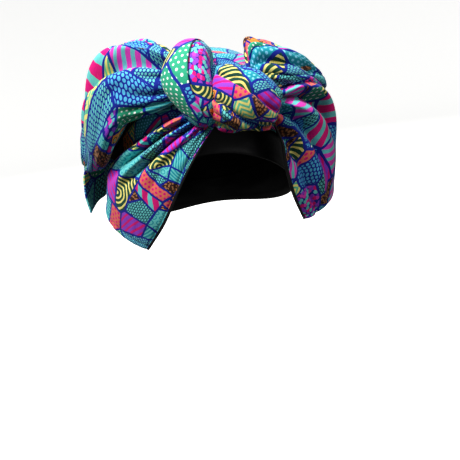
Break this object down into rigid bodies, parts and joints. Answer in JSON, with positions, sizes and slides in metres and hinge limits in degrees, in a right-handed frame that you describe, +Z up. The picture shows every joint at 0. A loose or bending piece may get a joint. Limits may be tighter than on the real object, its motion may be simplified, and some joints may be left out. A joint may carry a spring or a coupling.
{
  "type": "head wrap",
  "caption": "Cloth head wrap: a soft crown over a satin band, tied in front in a wound knot with open bow loops to the sides and pleated, lined tails beside the face.",
  "frame": {"origin": "middle of the head opening, level with the front hairline", "axes": "+Z up the wearer's head, the wearer looks along -Y, +X to the right of someone who looks at the wearer's face"},
  "size_m": [0.24, 0.2264, 0.1906],
  "materials": {
    "printed_cotton": "matte woven cotton, patchwork print",
    "black_satin": "satin lining"
  },
  "bodies": {
    "root": {"crown": "printed_cotton", "inner_band": "black_satin", "knot": "printed_cotton", "knot_roll": "printed_cotton", "left_loop": "printed_cotton", "right_loop": "printed_cotton", "left_tail": "printed_cotton", "right_tail": "printed_cotton", "left_under_tail": "printed_cotton"}
  },
  "joints": []
}
